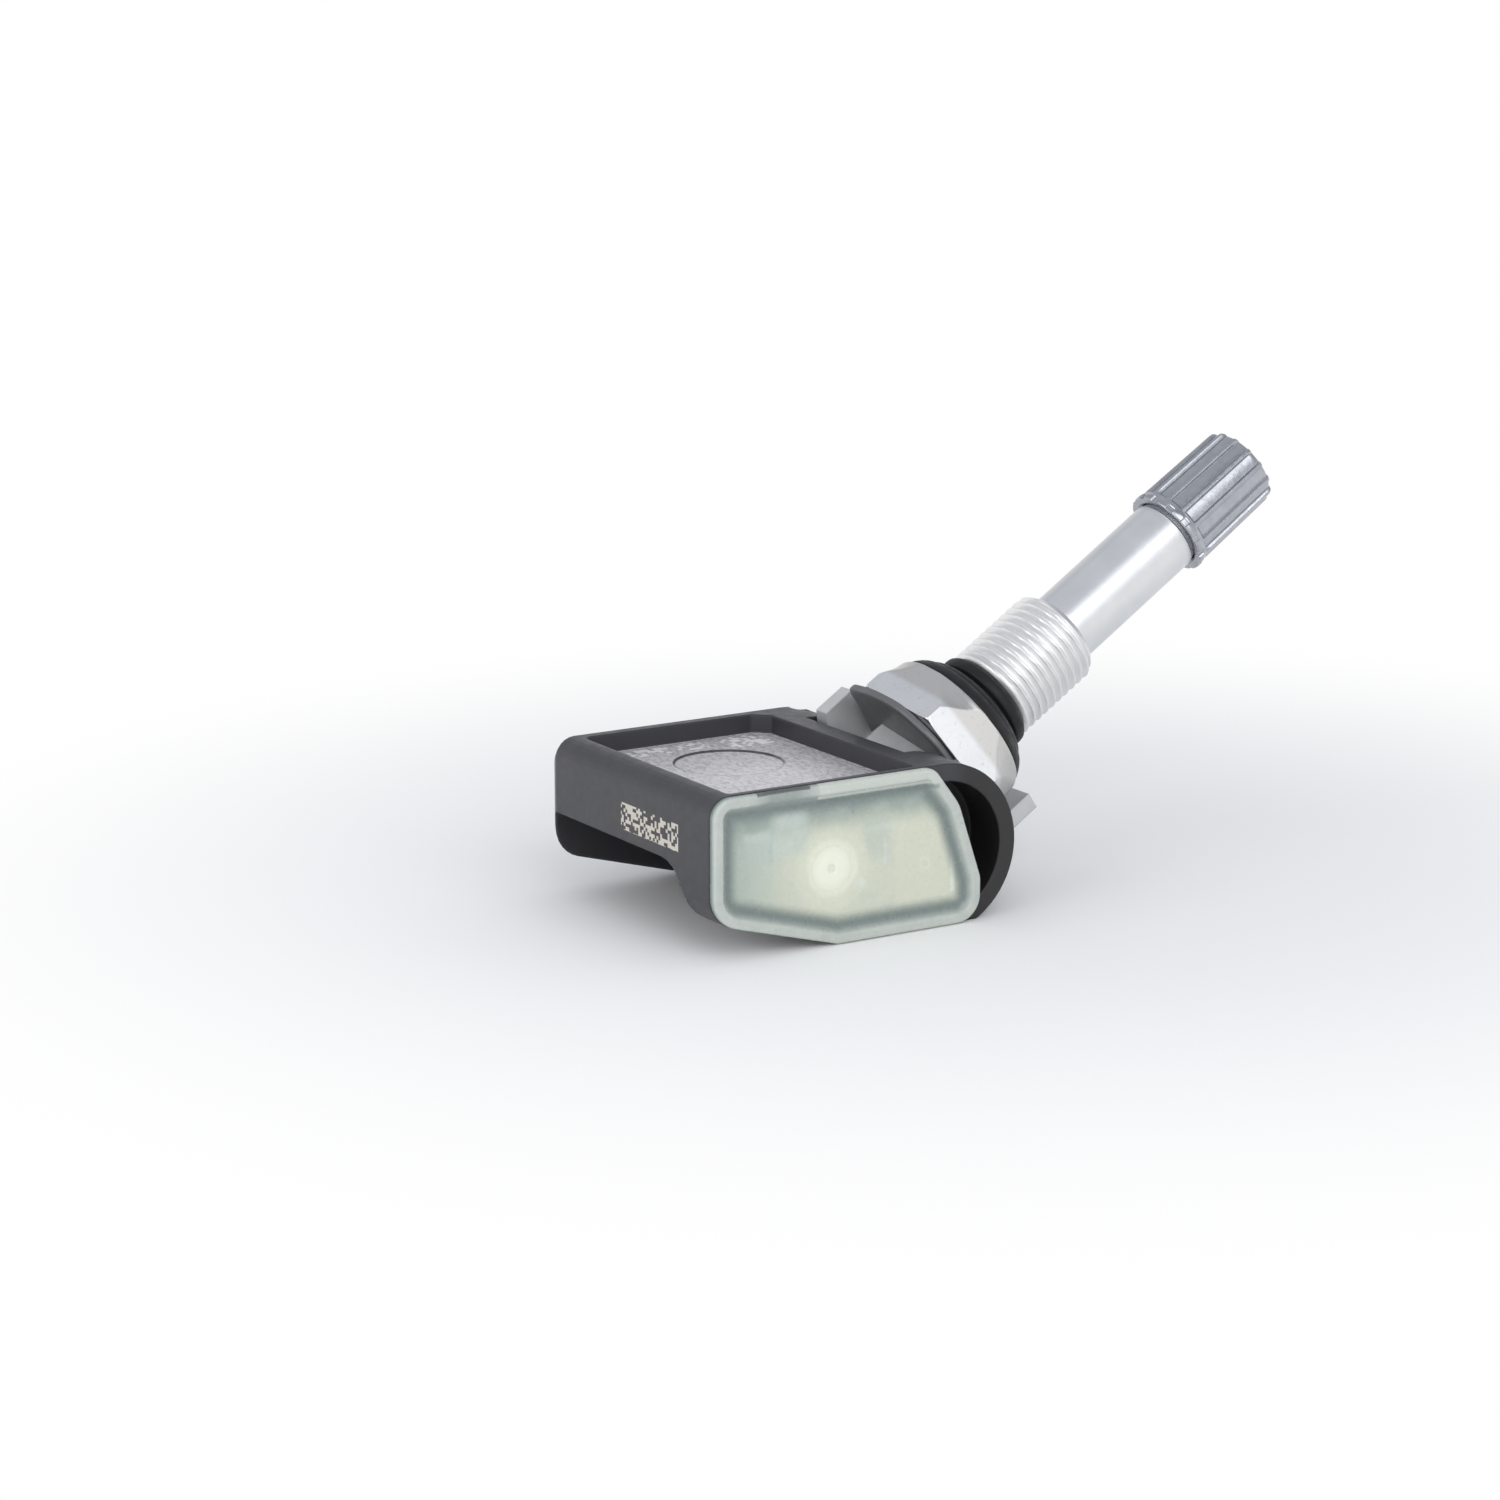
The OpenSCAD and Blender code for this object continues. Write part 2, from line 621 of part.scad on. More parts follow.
// Fluted dust cap and the seal in its end
module dust_cap() {
    flute_r = 1.3;
    color([0.45, 0.47, 0.5]) along_valve() difference() {
        rotate_extrude() polygon([
            [0, cap_rim], [cap_d / 2 + cap_lip, cap_rim], [cap_d / 2 + cap_lip, cap_rim + 0.7],
            [cap_d / 2, cap_rim + 0.9], [cap_end_d / 2, cap_end - 0.6], [cap_end_d / 2 - 0.6, cap_end],
            [0, cap_end]]);
        for (i = [0:flutes - 1]) rotate([0, 0, i * 360 / flutes])
            translate([cap_d / 2 + flute_r - flute_depth, 0, cap_rim + 1.2]) rotate([0, -flute_lean, 0])
                cylinder(r = flute_r, h = cap_l, $fn = 32);
        rod(tip_d / 2 + fit, cap_rim - 1, cap_end - 1);
    }
}
module cap_seal() {
    color([0.1, 0.1, 0.1]) along_valve() ring(1.6, tip_d / 2 - 0.2, tip_end, cap_end - 1);
}

housing();
potting();
circuit_board();
battery();
battery_tab_upper();
battery_tab_lower();
sensor_chip();
port_seal();
transmitter_chip();
crystal();
lf_coil();
antenna();
capacitors();
saddle();
clamp_plate();
clamp_bolt();
valve_stem();
rim_grommet();
core_body();
core_gasket();
core_spring();
core_pin();
core_plug();
dust_cap();
cap_seal();
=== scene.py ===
import json
import math

import bpy
import numpy as np
from mathutils import Matrix, Vector


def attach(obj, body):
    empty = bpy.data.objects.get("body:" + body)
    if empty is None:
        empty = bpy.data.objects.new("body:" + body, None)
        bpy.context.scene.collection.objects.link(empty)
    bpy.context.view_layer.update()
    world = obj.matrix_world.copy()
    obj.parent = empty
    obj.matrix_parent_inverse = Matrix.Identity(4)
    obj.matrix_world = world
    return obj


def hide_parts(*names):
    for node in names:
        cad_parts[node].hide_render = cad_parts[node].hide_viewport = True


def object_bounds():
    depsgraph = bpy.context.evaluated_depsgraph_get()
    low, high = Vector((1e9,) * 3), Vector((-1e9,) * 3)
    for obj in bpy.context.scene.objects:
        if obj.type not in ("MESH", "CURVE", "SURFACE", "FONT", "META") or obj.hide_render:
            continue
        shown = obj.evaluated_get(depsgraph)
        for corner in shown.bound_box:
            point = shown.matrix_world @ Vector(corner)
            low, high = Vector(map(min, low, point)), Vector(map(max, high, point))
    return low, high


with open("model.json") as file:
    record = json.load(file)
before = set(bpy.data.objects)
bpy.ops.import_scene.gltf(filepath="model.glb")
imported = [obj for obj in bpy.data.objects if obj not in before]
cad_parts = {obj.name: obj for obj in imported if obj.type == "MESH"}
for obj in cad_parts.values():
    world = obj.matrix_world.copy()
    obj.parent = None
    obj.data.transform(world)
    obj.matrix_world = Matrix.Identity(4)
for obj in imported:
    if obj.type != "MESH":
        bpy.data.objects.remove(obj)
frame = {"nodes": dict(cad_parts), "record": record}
size_before = [list(v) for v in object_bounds()]

MM = 0.001
ELEV = math.radians(33.5)
SEAT = 18.9
AXIS = Vector((math.cos(ELEV), 0, math.sin(ELEV)))
PIVOT = -AXIS * SEAT * MM
# The valve's own frame: local Z runs along the valve, local X runs down and out
VALVE = Matrix.Translation(PIVOT) @ Matrix.Rotation(math.radians(90) - ELEV, 4, "Y")
HOUSING = Matrix.Translation(PIVOT)


def lin(r, g, b):
    """Display values from 0 to 255 as linear colour."""
    return tuple((c / 255 / 12.92) if c <= 10 else ((c / 255 + 0.055) / 1.055) ** 2.4 for c in (r, g, b))


def photo_camera(azimuth, elevation, shift_right, shift_up, distance, lens):
    """Camera at the photo's viewing angle; lengths in millimetres from the swivel axis, angles in degrees."""
    a, e = math.radians(azimuth), math.radians(elevation)
    back = Vector((math.sin(a) * math.cos(e), -math.cos(a) * math.cos(e), math.sin(e)))
    right = Vector((math.cos(a), math.sin(a), 0))
    up = back.cross(right)
    data = bpy.data.cameras.new("photo_camera")
    data.lens = lens
    data.sensor_width = 36
    data.clip_start, data.clip_end = 0.01, 10
    cam = bpy.data.objects.new("photo_camera", data)
    place = Matrix((right, up, back)).transposed().to_4x4()
    place.translation = PIVOT + (right * shift_right + up * shift_up + back * distance) * MM
    cam.matrix_world = place
    bpy.context.collection.objects.link(cam)
    bpy.context.scene.camera = cam


photo_camera(azimuth=-31.84, elevation=13.34, shift_right=-11.11, shift_up=7.01, distance=433.38, lens=100.0)
bpy.context.scene.view_settings.view_transform = "Standard"


# Materials
class Shader:
    """Small helper that wires a Principled material from procedural parts."""

    def __init__(self, name):
        self.mat = bpy.data.materials.new(name)
        self.mat.use_nodes = True
        self.tree = self.mat.node_tree
        self.bsdf = self.tree.nodes["Principled BSDF"]
        self.coord = self.node("ShaderNodeTexCoord").outputs["Object"]

    def node(self, kind, **inputs):
        n = self.tree.nodes.new(kind)
        for k, v in inputs.items():
            self.put(n.inputs[k.replace("_", " ")], v)
        return n

    def put(self, socket, value):
        if isinstance(value, bpy.types.NodeSocket):
            self.tree.links.new(value, socket)
        elif hasattr(value, "__len__") and len(value) == 3 and socket.type == "RGBA":
            socket.default_value = (*value, 1)
        else:
            socket.default_value = value

    def set(self, **values):
        for k, v in values.items():
            self.put(self.bsdf.inputs[k.replace("_", " ")], v)
        return self

    def math(self, op, a, b=0.0):
        n = self.tree.nodes.new("ShaderNodeMath")
        n.operation = op
        for i, v in enumerate((a, b)):
            self.put(n.inputs[i], v)
        return n.outputs[0]

    def vector(self, op, a, b=(0, 0, 0), scale=None):
        n = self.tree.nodes.new("ShaderNodeVectorMath")
        n.operation = op
        self.put(n.inputs[0], a)
        self.put(n.inputs[1], b)
        if scale is not None:
            n.inputs["Scale"].default_value = scale
        return n.outputs["Value"] if op in ("LENGTH", "DISTANCE", "DOT_PRODUCT") else n.outputs[0]

    def noise(self, scale, detail=3.0, rough=0.5, stretch=None):
        v = self.vector("MULTIPLY", self.coord, stretch) if stretch else self.coord
        return self.node("ShaderNodeTexNoise", Vector=v, Scale=scale, Detail=detail, Roughness=rough).outputs["Fac"]

    def ramp(self, value, lo, hi, a=0.0, b=1.0):
        n = self.node("ShaderNodeMapRange")
        n.interpolation_type = "SMOOTHSTEP" if a in (0.0, 1.0) and b in (0.0, 1.0) else "LINEAR"
        for i, v in enumerate((value, lo, hi, a, b)):
            self.put(n.inputs[i], v)
        return n.outputs[0]

    def uneven(self, scale, lo, hi):
        """Value that wanders between lo and hi."""
        return self.ramp(self.noise(scale), 0.3, 0.7, lo, hi)

    def mix(self, fac, a, b):
        n = self.tree.nodes.new("ShaderNodeMix")
        n.data_type = "RGBA"
        self.put(n.inputs[0], fac)
        self.put(n.inputs[6], a)
        self.put(n.inputs[7], b)
        return n.outputs[2]

    def relief(self, height, strength=0.3, distance=0.0001, edge=0.0):
        n = self.node("ShaderNodeBump", Strength=strength, Distance=distance, Height=height)
        if edge:
            b = self.tree.nodes.new("ShaderNodeBevel")
            b.samples = 6
            b.inputs["Radius"].default_value = edge
            self.tree.links.new(b.outputs[0], n.inputs["Normal"])
        self.tree.links.new(n.outputs[0], self.bsdf.inputs["Normal"])
        return self

    def place(self):
        """Position in millimetres from the swivel axis."""
        return self.vector("SCALE", self.vector("SUBTRACT", self.coord, tuple(PIVOT)), scale=1000)

    def xyz(self):
        return self.node("ShaderNodeSeparateXYZ", Vector=self.place()).outputs

    def inside(self, v, lo, hi, soft=0.03):
        """1 between lo and hi, 0 outside."""
        return self.math("MULTIPLY", self.ramp(v, lo - soft, lo + soft), self.ramp(v, hi - soft, hi + soft, 1.0, 0.0))

    def area(self, u, v, u0, u1, v0, v1, soft=0.03):
        return self.math("MULTIPLY", self.inside(u, u0, u1, soft), self.inside(v, v0, v1, soft))

    def disc(self, u, v, u0, v0, r, soft):
        """1 inside a round spot, and the distance from its centre."""
        d = self.math("SQRT", self.math("ADD", self.math("POWER", self.math("SUBTRACT", u, u0), 2.0),
                                        self.math("POWER", self.math("SUBTRACT", v, v0), 2.0)))
        return self.ramp(d, r - soft, r + soft, 1.0, 0.0), d

    def attribute(self, name):
        """Point attribute of the mesh, 0 where it has none."""
        n = self.tree.nodes.new("ShaderNodeAttribute")
        n.attribute_name = name
        return n.outputs["Fac"]

    def cells(self, size, share=0.5, seed=0.0):
        """Random filled cells of the given size in millimetres."""
        n = self.tree.nodes.new("ShaderNodeVectorMath")
        n.operation = "FLOOR"
        self.put(n.inputs[0], self.vector("ADD", self.vector("DIVIDE", self.place(), (size, size, size)),
                                          (seed, seed, seed)))
        w = self.node("ShaderNodeTexWhiteNoise", Vector=n.outputs[0]).outputs["Value"]
        return self.math("GREATER_THAN", w, 1 - share)


def tinted(s, base, amount=0.12, scale=300):
    lo = [c * (1 - amount) for c in base]
    hi = [min(1, c * (1 + amount)) for c in base]
    return s.mix(s.noise(scale, 4), lo, hi)


def plastic(name, base, rough):
    s = Shader(name)
    s.set(Base_Color=tinted(s, base), Roughness=s.uneven(900, rough - 0.06, rough + 0.08),
          Specular_IOR_Level=0.5)
    return s.relief(s.noise(4000, 4), 0.25, 0.00003, 0.00018)


def metal(name, base, rough):
    s = Shader(name)
    s.set(Base_Color=tinted(s, base, 0.06, 500), Metallic=1.0,
          Roughness=s.uneven(700, rough - 0.05, rough + 0.07))
    return s.relief(s.noise(3000, 3), 0.2, 0.00002, 0.00012)


def rubber(name, base, rough=0.6, spec=0.5):
    s = Shader(name)
    s.set(Base_Color=tinted(s, base, 0.2, 600), Specular_IOR_Level=spec,
          Roughness=s.uneven(1200, rough - 0.1, rough + 0.1))
    return s.relief(s.noise(5000, 4), 0.2, 0.00003, 0.00015)


# The second colour is painted shade: the flange under the hexagon takes a darker copy of the same metal.
def cast_metal(name, base, shaded_lip):
    s = Shader(name)
    s.set(Base_Color=s.mix(s.attribute("shaded_lip"), tinted(s, base, 0.1, 700), tinted(s, shaded_lip, 0.1, 700)), Metallic=0.45,
          Roughness=s.uneven(900, 0.38, 0.5))
    return s.relief(s.noise(2400, 4), 0.35, 0.00003, 0.00025)


# Fields on the housing in millimetres from the swivel axis: u0, u1, v0, v1
RECESS = (-25.2, -2.6, -15.4, 14.0)
RECESS_FLOOR_Z = (6.6, 6.95)
RECESS_MARKS = ((-23.6, -11.5, 10.2, 12.9), (-9.6, -4.4, 8.6, 13.0))
RECESS_LETTERS = (-17.6, -8.2, -10.6, -9.6)
WALL_CODE = (-9.8, 1.4, 2.25, 5.05)
WALL_X = -27.4
PAD = (-13.5, 3.4, 5.7)
PAD_GROOVE_SHADE = (5.58, 5.8)


def housing_material():
    """Moulded plastic; the label recess is lighter, partly its own etched tone and partly a painted reflection, with
    generic etched marks, a pad ring coloured as painted shade, and a rounded end darkened as painted shade.
    """
    s = Shader("housing_plastic")
    x, y, z = s.xyz()
    base = tinted(s, lin(54, 54, 58), 0.16, 220)
    # Painted shade: the rounded end of the shell is coloured darker than the rest of the housing.
    base = s.mix(s.ramp(x, 0.5, 3.5), base, tinted(s, lin(36, 35, 36), 0.16, 220))
    floor = s.math("MULTIPLY", s.area(x, y, *RECESS, 0.05), s.inside(z, *RECESS_FLOOR_Z, 0.02))
    grain = s.noise(2600, 5, 0.7, stretch=(1.0, 0.45, 1.0))
    # Painted reflection: the recess floor is coloured lighter towards the front and the left, as a sheen.
    glare = s.math("MULTIPLY", s.ramp(y, 12.0, -4.0), s.ramp(x, -4.0, -12.0))
    light = s.mix(glare, lin(196, 194, 197), lin(226, 223, 224))
    etched_and_painted_light = s.mix(s.ramp(grain, 0.34, 0.6), s.mix(glare, lin(146, 145, 149), lin(190, 188, 190)), light)
    marks = s.math("MAXIMUM", *[s.area(x, y, *field, 0.05) for field in RECESS_MARKS])
    marks = s.math("MULTIPLY", marks, s.cells(0.55, 0.5, 3.37))
    front = s.math("MULTIPLY", s.area(x, y, *RECESS_LETTERS, 0.1), s.cells(1.3, 0.7, 5.1))
    marks = s.math("MAXIMUM", marks, s.math("MULTIPLY", front, 0.8))
    etched_and_painted_light = s.mix(s.math("MULTIPLY", marks, 0.75), etched_and_painted_light, lin(244, 239, 239))
    _, pad = s.disc(x, y, *PAD, 0.1)
    # Painted shade: the ring round the pad is coloured dark, darkest on its far side.
    groove = s.math("MULTIPLY", s.inside(pad, *PAD_GROOVE_SHADE, 0.05), s.ramp(y, 0.0, 4.5, 0.25, 1.0))
    etched_and_painted_light = s.mix(s.math("MULTIPLY", groove, 0.85), etched_and_painted_light, lin(38, 38, 40))
    base = s.mix(floor, base, etched_and_painted_light)
    wall = s.math("MULTIPLY", s.math("LESS_THAN", x, WALL_X), s.area(y, z, *WALL_CODE, 0.03))
    code = s.math("MULTIPLY", wall, s.cells(0.36, 0.52, 0.61))
    base = s.mix(s.math("MULTIPLY", code, 0.9), base, lin(206, 200, 188))
    rough = s.mix(floor, s.uneven(900, 0.36, 0.46), (0.55, 0.55, 0.55))
    s.set(Base_Color=base, Roughness=rough, Specular_IOR_Level=0.5)
    fine = s.noise(3600, 5, 0.65)
    height = s.math("ADD", s.math("MULTIPLY", fine, 0.5), s.math("MULTIPLY", s.math("MULTIPLY", grain, floor), 1.4))
    return s.relief(height, 0.35, 0.00004, 0.0004)


def potting_material():
    """Milky resin: a pale rim, a bevel coloured darker as painted shade, and blurred forms behind the window."""
    s = Shader("potting_compound")
    x, y, z = s.xyz()
    wave = s.vector("SCALE", s.vector("SUBTRACT", s.node("ShaderNodeTexNoise", Vector=s.coord, Scale=260.0,
                    Detail=3.0).outputs["Color"], (0.5, 0.5, 0.5)), scale=1.1)
    warp = s.node("ShaderNodeSeparateXYZ", Vector=s.vector("ADD", s.place(), wave)).outputs
    u, v = warp[0], warp[2]
    deep = s.ramp(y, -16.55, -15.95)
    rim = s.mix(s.noise(400, 3), lin(176, 183, 178), lin(196, 201, 195))
    # Painted shade: the bevel is coloured darker, most where it runs down into the window.
    shaded_bevel = s.mix(s.ramp(y, -16.3, -15.85), lin(146, 155, 152), lin(118, 130, 127))
    base = s.mix(deep, rim, shaded_bevel)
    wide = s.area(x, z, -15.2, -0.6, 7.3, 9.2, 0.15)
    base = s.mix(wide, base, lin(196, 201, 194))
    # Painted shade: a dark line along the upper bevel, under the wide pale strip of the rim.
    base = s.mix(s.math("MULTIPLY", s.area(x, z, -15.2, -1.0, 6.75, 7.2, 0.2), 0.6), base, lin(112, 124, 122))
    base = s.mix(s.math("MULTIPLY", s.area(x, z, -22.4, -16.2, 8.55, 9.2, 0.08), 0.8), base, lin(70, 72, 73))
    pane = s.attribute("pane")
    inner = s.mix(s.ramp(u, -25, -17), lin(172, 184, 174), lin(204, 209, 192))
    inner = s.mix(s.ramp(v, 3.2, 6.4), inner, lin(146, 158, 152))
    cloud = s.noise(420, 4, 0.6)
    inner = s.mix(s.math("MULTIPLY", s.ramp(cloud, 0.45, 0.75), 0.35), inner, lin(184, 195, 186))

    def form(mask, amount, colour):
        nonlocal inner
        inner = s.mix(s.math("MULTIPLY", mask, amount), inner, colour)

    form(s.area(u, v, -5.8, 1.5, -5.0, 3.4, 0.35), 0.8, lin(208, 212, 194))
    form(s.area(u, v, -9.6, -6.4, 0.4, 4.4, 0.7), 0.35, lin(172, 184, 178))
    form(s.area(u, v, -9.4, -5.6, 3.2, 3.7, 0.3), 0.3, lin(205, 215, 212))
    form(s.area(u, v, -20.6, -16.2, 2.0, 6.8, 0.6), 0.6, lin(190, 201, 194))
    form(s.area(u, v, -19.8, -16.8, 5.0, 6.5, 0.5), 0.5, lin(198, 206, 200))
    form(s.area(u, v, -20.9, -20.4, 1.4, 6.2, 0.3), 0.35, lin(160, 178, 174))
    form(s.area(u, v, -23.6, -20.6, 3.9, 4.9, 0.35), 0.45, lin(202, 212, 208))
    form(s.area(u, v, -23.2, -20.8, 1.6, 3.9, 0.3), 0.4, lin(180, 196, 192))
    halo, _ = s.disc(u, v, -13.2, -0.2, 4.3, 0.7)
    form(halo, 0.6, lin(214, 218, 198))
    seat, _ = s.disc(u, v, -13.3, 0.0, 3.0, 0.4)
    form(seat, 0.95, lin(224, 228, 210))
    knob, _ = s.disc(u, v, -9.9, -1.9, 0.6, 0.3)
    form(knob, 0.6, lin(214, 222, 214))
    form(s.area(u, v, -7.3, -6.9, -0.4, 2.2, 0.1), 0.5, lin(208, 216, 210))
    _, ringlet = s.disc(u, v, -2.3, -1.0, 0.6, 0.1)
    form(s.inside(ringlet, 0.42, 0.68, 0.1), 0.6, lin(216, 222, 208))
    form(s.area(u, v, -11.2, -10.8, 5.4, 6.6, 0.15), 0.6, lin(130, 150, 150))
    form(s.area(x, v, 0.9, 1.45, -4.4, 0.6, 0.12), 0.8, lin(226, 232, 218))
    base = s.mix(pane, base, inner)
    s.set(Base_Color=base, Roughness=s.uneven(700, 0.2, 0.34), Specular_IOR_Level=0.45,
          Subsurface_Weight=0.22, Subsurface_Radius=(0.8, 1.0, 0.9), Subsurface_Scale=0.0005)
    height = s.math("ADD", s.math("MULTIPLY", cloud, 0.6), s.math("MULTIPLY", seat, 0.3))
    return s.relief(height, 0.25, 0.0001, 0.0001)


def seal_material():
    """Pale silicone that fades into the resin round it."""
    s = Shader("seal_silicone")
    x, y, z = s.xyz()
    near, _ = s.disc(x, z, -13.4, 0.0, 1.9, 0.6)
    edge = s.mix(s.noise(600, 3), lin(220, 224, 206), lin(226, 230, 212))
    s.set(Base_Color=s.mix(near, edge, lin(232, 235, 219)), Roughness=s.uneven(900, 0.3, 0.42))
    return s.relief(s.noise(900, 3), 0.1, 0.00003, 0.0001)


# Finishes along the valve in millimetres from the swivel axis
HEX_FINISH = (9.0, 16.2)
COLLAR_FINISH = (12.4, 15.4)
THREAD_FINISH = (19.8, 30.2)


def stem_material():
    """Turned metal with fine rings round the valve's axis and a greyer, grainy collar."""
    s = Shader("stem_metal")
    p = s.place()
    along = s.vector("DOT_PRODUCT", p, tuple(AXIS))
    rings = s.node("ShaderNodeTexNoise", Vector=s.node("ShaderNodeCombineXYZ", Z=along).outputs[0],
                   Scale=9.0, Detail=4.0, Roughness=0.7).outputs["Fac"]
    grain = s.noise(2200, 5, 0.7)
    hexpart = s.inside(along, *HEX_FINISH, 0.2)
    thread = s.inside(along, *THREAD_FINISH, 0.2)
    base = s.mix(thread, s.mix(s.noise(420, 4), lin(216, 218, 221), lin(230, 231, 232)), lin(240, 240, 240))
    collar = s.math("MULTIPLY", s.inside(along, *COLLAR_FINISH, 0.35), 0.8)
    base = s.mix(collar, base, lin(196, 194, 191))
    speck = s.math("MULTIPLY", s.ramp(grain, 0.55, 0.75), s.math("MULTIPLY", hexpart, 0.4))
    base = s.mix(speck, base, lin(150, 148, 146))
    rough = s.math("ADD", s.math("MULTIPLY", s.noise(900, 3), 0.12),
                   s.math("ADD", 0.3, s.math("ADD", s.math("MULTIPLY", thread, 0.04), s.math("MULTIPLY", hexpart, -0.06))))
    s.set(Base_Color=base, Metallic=1.0, Roughness=rough)
    height = s.math("ADD", s.math("MULTIPLY", rings, s.math("SUBTRACT", 1.0, hexpart)), s.math("MULTIPLY", grain, 0.6))
    return s.relief(height, 0.18, 0.00004, 0.00008)


def cap_material():
    """Semi-gloss moulded cap with faint lengthwise streaks."""
    s = Shader("cap_plastic")
    streak = s.noise(900, 4, 0.6)
    s.set(Base_Color=s.mix(streak, lin(158, 161, 169), lin(192, 194, 199)), Metallic=1.0,
          Roughness=s.uneven(1500, 0.17, 0.3))
    return s.relief(s.noise(3000, 4), 0.2, 0.00004, 0.0001)


M = {
    "housing_plastic": housing_material(),
    "potting_compound": potting_material(),
    "board_laminate": plastic("board_laminate", (0.5, 0.55, 0.3), 0.5),
    "cell_steel": metal("cell_steel", (0.62, 0.62, 0.63), 0.3),
    "tab_nickel": metal("tab_nickel", (0.66, 0.65, 0.62), 0.35),
    "chip_mould": plastic("chip_mould", (0.03, 0.03, 0.033), 0.5),
    "seal_silicone": seal_material(),
    "can_steel": metal("can_steel", (0.6, 0.6, 0.61), 0.25),
    "coil_ferrite": plastic("coil_ferrite", (0.35, 0.34, 0.25), 0.5),
    "antenna_copper": metal("antenna_copper", (0.8, 0.45, 0.28), 0.3),
    "capacitor_ceramic": plastic("capacitor_ceramic", (0.42, 0.33, 0.24), 0.4),
    # Its second colour is painted shade for the saddle's flange under the hexagon.
    "saddle_zinc": cast_metal("saddle_zinc", lin(200, 202, 202), lin(112, 112, 114)),
    "clamp_steel": metal("clamp_steel", (0.5, 0.5, 0.5), 0.4),
    "bolt_steel": metal("bolt_steel", (0.35, 0.35, 0.36), 0.4),
    "stem_metal": stem_material(),
    "grommet_rubber": rubber("grommet_rubber", lin(26, 26, 28), 0.5, 0.3),
    "core_brass": metal("core_brass", (0.75, 0.56, 0.25), 0.25),
    "gasket_red": rubber("gasket_red", (0.45, 0.05, 0.04)),
    "spring_steel": metal("spring_steel", (0.6, 0.6, 0.6), 0.25),
    "plug_rubber": rubber("plug_rubber", (0.02, 0.02, 0.021)),
    "cap_plastic": cap_material(),
}
for sub in frame["record"]["subparts"]:
    o = frame["nodes"][sub["node"]]
    o.data.materials.clear()
    o.data.materials.append(M[sub["material_slot"]].mat)


# Own pieces, made from rings of points
def piece(name, rings, matrix, slot, body, replaced, closed=True, sharp=32):
    """Mesh from rings (lists of points in millimetres) joined one after another."""
    n = len(rings[0])
    co = np.concatenate([np.asarray(r, float) for r in rings])
    m = np.array(matrix)
    co = co @ m[:3, :3].T * MM + m[:3, 3]
    k = len(rings)
    steps = k if closed else k - 1
    i, j = np.meshgrid(np.arange(steps), np.arange(n), indexing="ij")
    i, j = i.ravel(), j.ravel()
    a, b = i * n + j, i * n + (j + 1) % n
    c, d = ((i + 1) % k) * n + (j + 1) % n, ((i + 1) % k) * n + j
    faces = np.stack([a, b, c, d], 1).tolist()
    if not closed:
        faces += [list(range(n - 1, -1, -1)), list(range((k - 1) * n, k * n))]
    mesh = bpy.data.meshes.new(name)
    mesh.from_pydata(co.tolist(), [], faces)
    mesh.validate()
    mesh.shade_smooth()
    mesh.set_sharp_from_angle(angle=math.radians(sharp))
    mesh.materials.append(M[slot].mat)
    o = bpy.data.objects.new(name, mesh)
    bpy.context.collection.objects.link(o)
    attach(o, body)
    if replaced:
        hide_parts(replaced)
    return o


def turned_ring(t, r, n):
    phi = np.arange(n) * 2 * math.pi / n
    r = np.broadcast_to(np.asarray(r, float), (n,))
    return np.stack([r * np.cos(phi), r * np.sin(phi), np.broadcast_to(t, (n,))], 1)


def smooth(v, lo, hi):
    v = np.clip((v - lo) / (hi - lo), 0, 1)
    return v * v * (3 - 2 * v)


# Valve: hexagon with domed collar, neck, helical rim nut thread, stem and cap thread.
# Stations along its axis and radii in millimetres
HEX_T, HEX_END, THREAD_T, THREAD_END, CAP_T, TIP_T, TIP_END, CAP_END = 9.6, 15.1, 19.7, 30.7, 47.4, 48.2, 57.6, 59.4
HEX_R, THREAD_R, STEM_R, TIP_R = 17 / math.sqrt(3), 5.4, 4.0, 3.85
PITCH = 1.02
N = 360
PHI = np.arange(N) * 360 / N


def hexagon(limit):
    flat = HEX_R * math.cos(math.radians(30)) / np.cos(np.radians((PHI - 43) % 60 - 30))
    return np.minimum(flat, limit)


def helix(t, r, pitch, depth, t0, t1):
    """Radius of a right-handed thread that runs out at both ends."""
    u = (t / pitch - PHI / 360) % 1
    w = np.abs(2 * u - 1)
    fade = smooth(t, t0, t0 + 0.35) * (1 - smooth(t, t1 - 0.35, t1))
    return r - depth * np.clip((0.86 - w) / 0.66, 0, 1) * fade


